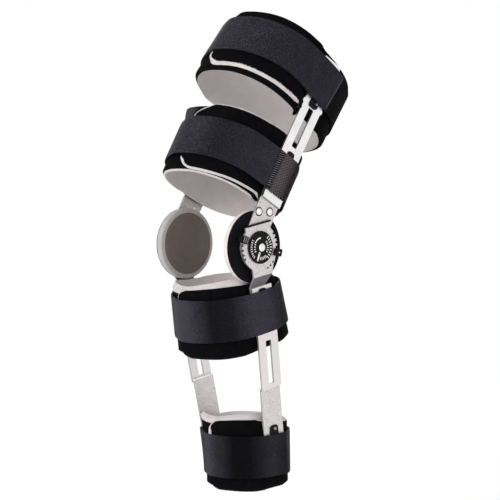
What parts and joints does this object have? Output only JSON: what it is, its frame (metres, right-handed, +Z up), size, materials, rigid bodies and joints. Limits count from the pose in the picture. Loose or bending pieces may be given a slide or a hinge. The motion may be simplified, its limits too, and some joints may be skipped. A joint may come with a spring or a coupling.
{
  "type": "post-op knee brace",
  "caption": "Hinged post-operative knee brace: padded wraps with straps above and below the knee, joined by slotted metal uprights and a range-of-motion hinge with condyle pads.",
  "frame": {"origin": "on the knee's hinge line, midway between the two hinge pivots, where the leg carries the brace", "axes": "+X out of the leg towards the hinge with the dial, along the hinge line; -Y to the front of the leg; +Z up"},
  "size_m": [0.1612, 0.2478, 0.5778],
  "materials": {
    "wrap_foam": "black loop-faced foam laminate with light grey foam edges and lining",
    "strap_webbing": "smooth black woven strap with a soft sheen",
    "plate_metal": "bright tumbled sheet metal with a fine speckle",
    "pad_foam": "grey foam pad with a black fabric cover on the hinge side",
    "black_plastic": "black moulded plastic, the dial with white marks"
  },
  "bodies": {
    "thigh": {"thigh_lower_wrap": "wrap_foam", "thigh_lower_strap": "strap_webbing", "condyle_pad_lateral": "pad_foam", "condyle_pad_medial": "pad_foam", "upper_arm_lateral": "plate_metal", "upper_arm_medial": "plate_metal", "hinge_washer_lateral": "plate_metal", "hinge_washer_medial": "plate_metal", "pivot_pin_lateral": "plate_metal", "pivot_pin_medial": "plate_metal", "rivet_front_lateral": "plate_metal", "rivet_front_medial": "plate_metal", "rivet_back_lateral": "plate_metal", "rivet_back_medial": "plate_metal"},
    "thigh_end": {"thigh_upper_wrap": "wrap_foam", "thigh_upper_strap": "strap_webbing", "thigh_bar_lateral": "plate_metal", "thigh_bar_medial": "plate_metal"},
    "shin": {"calf_wrap": "wrap_foam", "calf_strap": "strap_webbing", "lower_arm_lateral": "plate_metal", "lower_arm_medial": "plate_metal", "dial": "black_plastic"},
    "shin_end": {"ankle_wrap": "wrap_foam", "ankle_strap": "strap_webbing", "shin_bar_lateral": "plate_metal", "shin_bar_medial": "plate_metal", "ankle_plate_lateral": "plate_metal", "ankle_plate_medial": "plate_metal"},
    "extension_stop": {"extension_stop": "black_plastic"},
    "flexion_stop": {"flexion_stop": "black_plastic"}
  },
  "joints": [
    {"name": "knee_hinge", "type": "hinge", "parent": "thigh", "child": "shin", "pos_m": [0, 0, 0], "axis": [1, 0, 0], "range_deg": [-50, 50]},
    {"name": "thigh_slide", "type": "slide", "parent": "thigh", "child": "thigh_end", "axis": [0, 0.5, 0.866], "range_m": [0, 0.045]},
    {"name": "shin_slide", "type": "slide", "parent": "shin", "child": "shin_end", "axis": [0, 0.1736, -0.9848], "range_m": [0, 0.045]},
    {"name": "extension_stop_turn", "type": "hinge", "parent": "shin", "child": "extension_stop", "pos_m": [0, 0, 0], "axis": [1, 0, 0], "range_deg": [0, 55]},
    {"name": "flexion_stop_turn", "type": "hinge", "parent": "shin", "child": "flexion_stop", "pos_m": [0, 0, 0], "axis": [1, 0, 0], "range_deg": [0, 55]}
  ]
}
